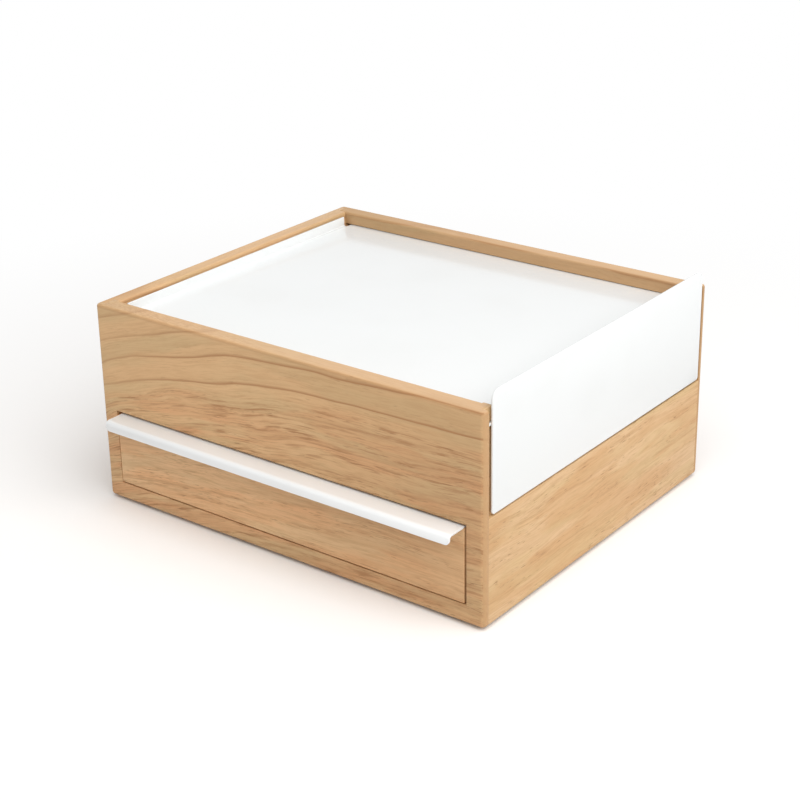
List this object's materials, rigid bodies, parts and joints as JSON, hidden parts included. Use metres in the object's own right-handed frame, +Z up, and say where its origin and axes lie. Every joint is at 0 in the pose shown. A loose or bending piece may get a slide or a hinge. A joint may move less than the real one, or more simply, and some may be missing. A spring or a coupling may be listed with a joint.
{
  "type": "ring box with drawer",
  "caption": "Wooden ring box with a sliding sheet-metal lid over a padded ring tray and a lined drawer below.",
  "frame": {"origin": "under the middle of the object's box, on the surface it stands on", "axes": "+Z up; +X to the right, the way the lid slides open; -Y to the front, the way the drawer opens"},
  "size_m": [0.255, 0.2258, 0.1249],
  "materials": {
    "solid_wood": "satin lacquered light hardwood",
    "runner_wood": "waxed hardwood",
    "panel_board": "fine plywood",
    "white_painted_steel": "satin white powder coat",
    "linen": "natural linen on card",
    "padded_linen": "natural linen over foam",
    "rubber": "matt black rubber",
    "screw_steel": "zinc-plated steel"
  },
  "bodies": {
    "case": {"front_board": "solid_wood", "back_board": "solid_wood", "left_board": "solid_wood", "right_board": "solid_wood", "base_board": "panel_board", "middle_shelf": "panel_board", "rubber_feet": "rubber", "left_runner": "runner_wood", "right_runner": "runner_wood", "drawer_stop": "solid_wood", "tray_floor_lining": "linen", "tray_front_lining": "linen", "tray_back_lining": "linen", "tray_left_lining": "linen", "tray_right_lining": "linen", "long_divider": "linen", "ring_divider": "linen", "cross_divider": "linen", "ring_roll_1": "padded_linen", "ring_roll_2": "padded_linen", "ring_roll_3": "padded_linen", "ring_roll_4": "padded_linen", "ring_roll_5": "padded_linen"},
    "lid": {"lid_plate": "white_painted_steel", "lid_side_panel": "white_painted_steel", "lid_stops": "rubber"},
    "drawer": {"drawer_front": "solid_wood", "drawer_left_side": "solid_wood", "drawer_right_side": "solid_wood", "drawer_back": "solid_wood", "drawer_bottom": "panel_board", "drawer_lining": "linen", "drawer_pull": "white_painted_steel", "pull_screws": "screw_steel"}
  },
  "joints": [
    {"name": "lid_slide", "type": "slide", "parent": "case", "child": "lid", "axis": [1, 0, 0], "range_m": [0, 0.155]},
    {"name": "drawer_slide", "type": "slide", "parent": "case", "child": "drawer", "axis": [0, -1, 0], "range_m": [0, 0.15]}
  ]
}
